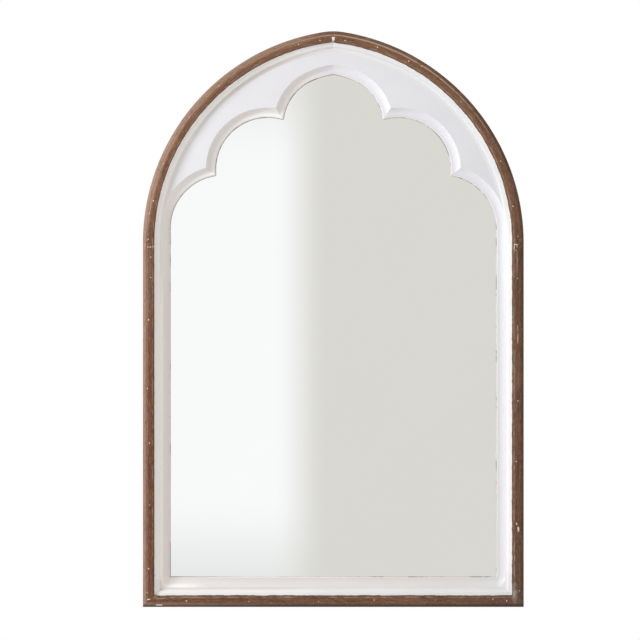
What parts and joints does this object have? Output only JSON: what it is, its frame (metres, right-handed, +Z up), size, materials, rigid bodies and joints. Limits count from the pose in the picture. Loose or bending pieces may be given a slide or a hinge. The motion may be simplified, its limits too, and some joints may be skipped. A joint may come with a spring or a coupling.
{
  "type": "arched wall mirror",
  "caption": "Wall mirror with a pointed arch top, brown wooden trim, white frame and a lobed tracery panel in front of the glass; hangs by swinging rings.",
  "frame": {"origin": "on the wall plane, midway between the two places where the wall hooks bear", "axes": "+Z up, +X to the right seen from the front, the front faces -Y and the wall lies towards +Y"},
  "size_m": [0.61, 0.035, 0.923],
  "materials": {
    "trim_wood": "brown stain, worn",
    "white_paint": "matt white paint",
    "mirror": "polished",
    "putty": "matt",
    "steel": "zinc plated",
    "foam": "matt",
    "hardboard": "smooth hardboard",
    "bumper": "matt"
  },
  "bodies": {
    "mirror": {"trim_left_stile": "trim_wood", "trim_right_stile": "trim_wood", "trim_bottom_rail": "trim_wood", "trim_left_arch": "trim_wood", "trim_right_arch": "trim_wood", "trim_apex_filler": "putty", "trim_brads": "steel", "brad_fillers": "putty", "frame_left_stile": "white_paint", "frame_right_stile": "white_paint", "frame_bottom_rail": "white_paint", "frame_left_arch": "white_paint", "frame_right_arch": "white_paint", "frame_v_nails": "steel", "tracery_panel": "white_paint", "mirror_glass": "mirror", "cushion_tapes": "foam", "backing_board": "hardboard", "backing_screws": "steel", "left_hanger_strap": "steel", "right_hanger_strap": "steel", "hanger_screws": "steel", "wall_bumpers": "bumper"},
    "left_ring": {"left_hanger_ring": "steel"},
    "right_ring": {"right_hanger_ring": "steel"}
  },
  "joints": [
    {"name": "left_ring_swing", "type": "hinge", "parent": "mirror", "child": "left_ring", "pos_m": [-0.287, -0.00272, 0.00228], "axis": [1, 0, 0], "range_deg": [0, 175]},
    {"name": "right_ring_swing", "type": "hinge", "parent": "mirror", "child": "right_ring", "pos_m": [0.287, -0.00272, 0.00228], "axis": [1, 0, 0], "range_deg": [0, 175]}
  ]
}
